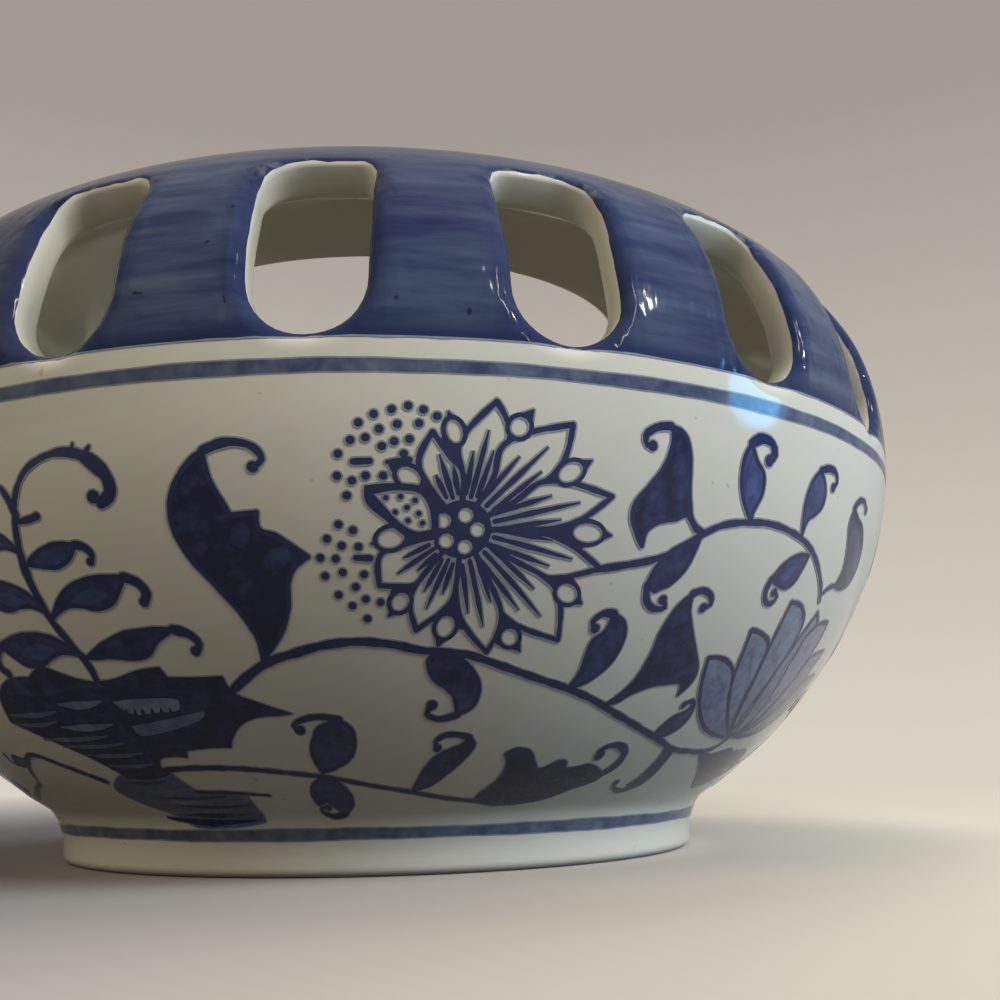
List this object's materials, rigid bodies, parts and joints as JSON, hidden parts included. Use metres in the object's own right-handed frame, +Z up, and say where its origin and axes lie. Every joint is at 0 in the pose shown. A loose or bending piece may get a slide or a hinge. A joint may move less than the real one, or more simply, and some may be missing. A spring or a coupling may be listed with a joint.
{
  "type": "potpourri jar",
  "caption": "Low round porcelain jar with an open mouth and tall slots round the shoulder that let the scent of potpourri out; blue and white, on a plain foot.",
  "frame": {"origin": "centre of the flat face that the jar stands on", "axes": "+Z up along the jar's axis; -Y is the front, with one slot centred on it"},
  "size_m": [0.13, 0.1298, 0.071],
  "materials": {
    "porcelain": "glossy clear glaze over off-white porcelain",
    "cobalt_glaze": "glossy clear glaze over brushed cobalt blue"
  },
  "bodies": {
    "root": {"foot_ring": "porcelain", "floor": "porcelain", "belly_wall": "porcelain", "slot_sill_ring": "cobalt_glaze", "shoulder_rib_01": "cobalt_glaze", "shoulder_rib_02": "cobalt_glaze", "shoulder_rib_03": "cobalt_glaze", "shoulder_rib_04": "cobalt_glaze", "shoulder_rib_05": "cobalt_glaze", "shoulder_rib_06": "cobalt_glaze", "shoulder_rib_07": "cobalt_glaze", "shoulder_rib_08": "cobalt_glaze", "shoulder_rib_09": "cobalt_glaze", "shoulder_rib_10": "cobalt_glaze", "shoulder_rib_11": "cobalt_glaze", "shoulder_rib_12": "cobalt_glaze", "shoulder_rib_13": "cobalt_glaze", "shoulder_rib_14": "cobalt_glaze", "shoulder_rib_15": "cobalt_glaze", "shoulder_rib_16": "cobalt_glaze", "shoulder_rib_17": "cobalt_glaze", "shoulder_rib_18": "cobalt_glaze", "crown_ring": "cobalt_glaze", "mouth_lip": "cobalt_glaze"}
  },
  "joints": []
}
